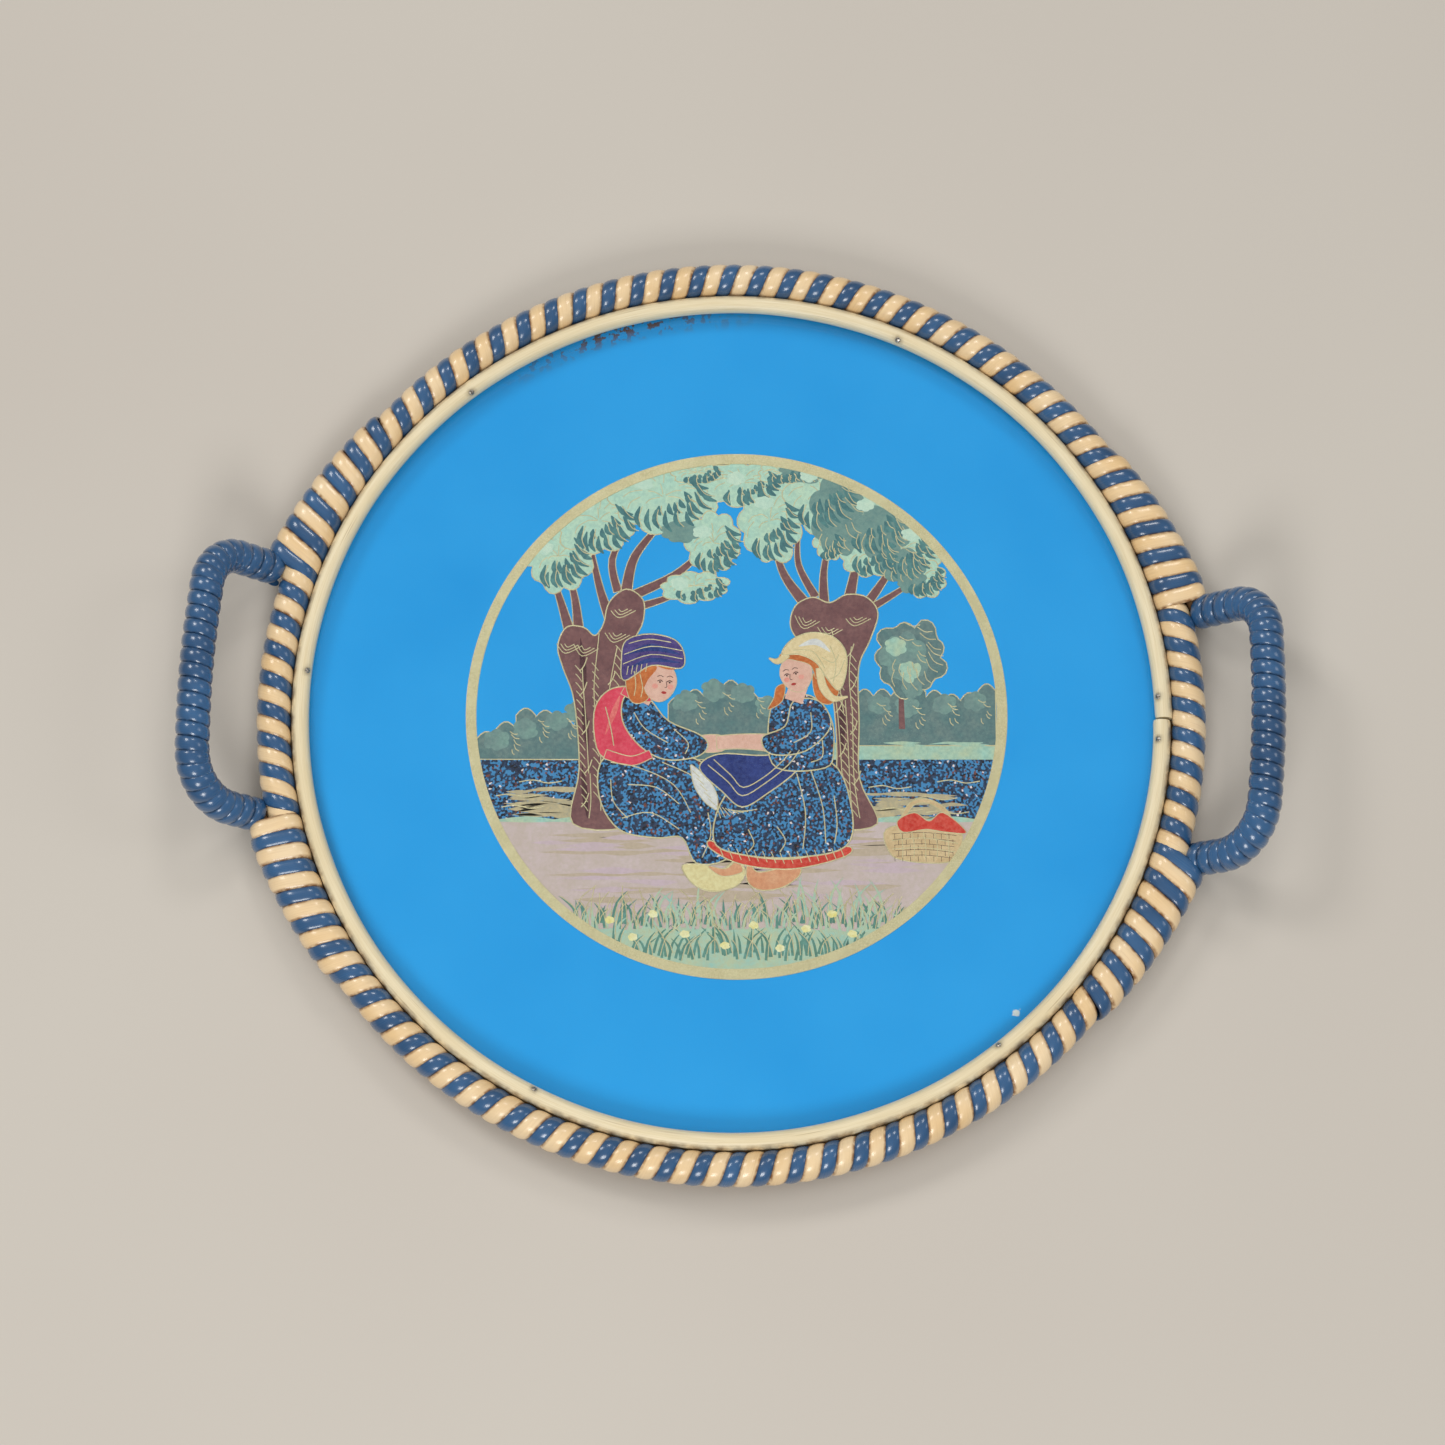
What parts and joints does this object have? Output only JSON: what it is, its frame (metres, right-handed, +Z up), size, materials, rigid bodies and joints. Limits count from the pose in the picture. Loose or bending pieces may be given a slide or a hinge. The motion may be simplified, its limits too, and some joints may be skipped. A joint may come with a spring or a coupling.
{
  "type": "round glass-topped serving tray",
  "caption": "Round serving tray: a picture under glass on a wooden base, a rim lashed with cane strands in two colours and a raised wrapped handle at each side.",
  "frame": {"origin": "middle of the base's underside, on the table", "axes": "+Z up, X through both handles"},
  "size_m": [0.381, 0.332, 0.0405],
  "materials": {
    "base": "sanded plywood",
    "card": "matt",
    "foil": "crinkled foil",
    "picture": "printed and varnished",
    "glass": "clear",
    "bare_cane": "varnished cane",
    "core_cane": "bare cane",
    "blue_strand": "gloss lacquered cane",
    "cream_strand": "varnished cane",
    "nail": "bright wire nail"
  },
  "bodies": {
    "root": {"base_board": "base", "backing_card": "card", "foil_leaf": "foil", "picture_sheet": "picture", "glass_disc": "glass", "bead_ring": "bare_cane", "bead_nails": "nail", "hoop_core": "core_cane", "hoop_brads": "nail", "handle_core_right": "core_cane", "handle_core_left": "core_cane", "tail_pins_right": "nail", "tail_pins_left": "nail", "rim_strand_blue": "blue_strand", "rim_strand_cream": "cream_strand", "handle_strand_right": "blue_strand", "handle_strand_left": "blue_strand"}
  },
  "joints": []
}
